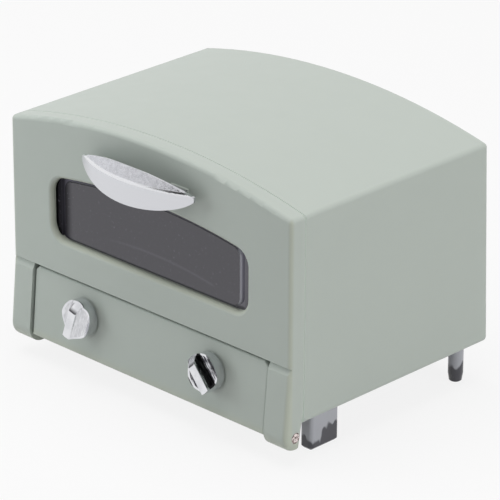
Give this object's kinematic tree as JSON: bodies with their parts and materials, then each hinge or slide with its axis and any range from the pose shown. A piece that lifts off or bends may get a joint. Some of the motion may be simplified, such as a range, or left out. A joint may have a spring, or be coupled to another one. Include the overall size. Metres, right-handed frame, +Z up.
{
  "type": "toy oven",
  "caption": "Palm-sized toy countertop oven with an arched roof, a drop-down window door on leg hinges, a bowed handle and turning knobs on a leaning control panel.",
  "frame": {"origin": "on the table, under the middle of the outer box", "axes": "+Z up, -Y out of the door, +X to the right of someone facing the door"},
  "size_m": [0.045, 0.037, 0.0325],
  "materials": {
    "green_plastic": "satin sage-green moulded plastic",
    "grey_plastic": "satin dark grey moulded plastic",
    "black_plastic": "satin black moulded plastic",
    "smoked_pane": "glossy smoked clear plastic",
    "chrome": "plated plastic, mirror bright on the knobs and satin on the handle",
    "silver_plastic": "silver-coloured moulded plastic",
    "steel": "bare steel, lightly drawn"
  },
  "bodies": {
    "oven": {"cabinet": "green_plastic", "base_plate": "grey_plastic", "base_screws": "steel", "oven_box": "black_plastic", "rack": "silver_plastic", "control_panel": "green_plastic"},
    "door_body": {"door": "green_plastic", "window_pane": "smoked_pane", "door_inner_panel": "black_plastic", "door_handle": "chrome", "left_hinge_pin": "steel", "right_hinge_pin": "steel"},
    "left_knob_body": {"left_knob": "chrome", "left_knob_collar": "grey_plastic"},
    "right_knob_body": {"right_knob": "chrome", "right_knob_collar": "grey_plastic"}
  },
  "joints": [
    {"name": "door_hinge", "type": "hinge", "parent": "oven", "child": "door_body", "pos_m": [0, -0.01384, 0.00355], "axis": [1, 0, 0], "range_deg": [0, 85]},
    {"name": "left_knob_turn", "type": "hinge", "parent": "oven", "child": "left_knob_body", "pos_m": [-0.0103, -0.01484, 0.0081], "axis": [0, -0.9959, 0.0906], "continuous": true},
    {"name": "right_knob_turn", "type": "hinge", "parent": "oven", "child": "right_knob_body", "pos_m": [0.0103, -0.01484, 0.0081], "axis": [0, -0.9959, 0.0906], "continuous": true}
  ]
}
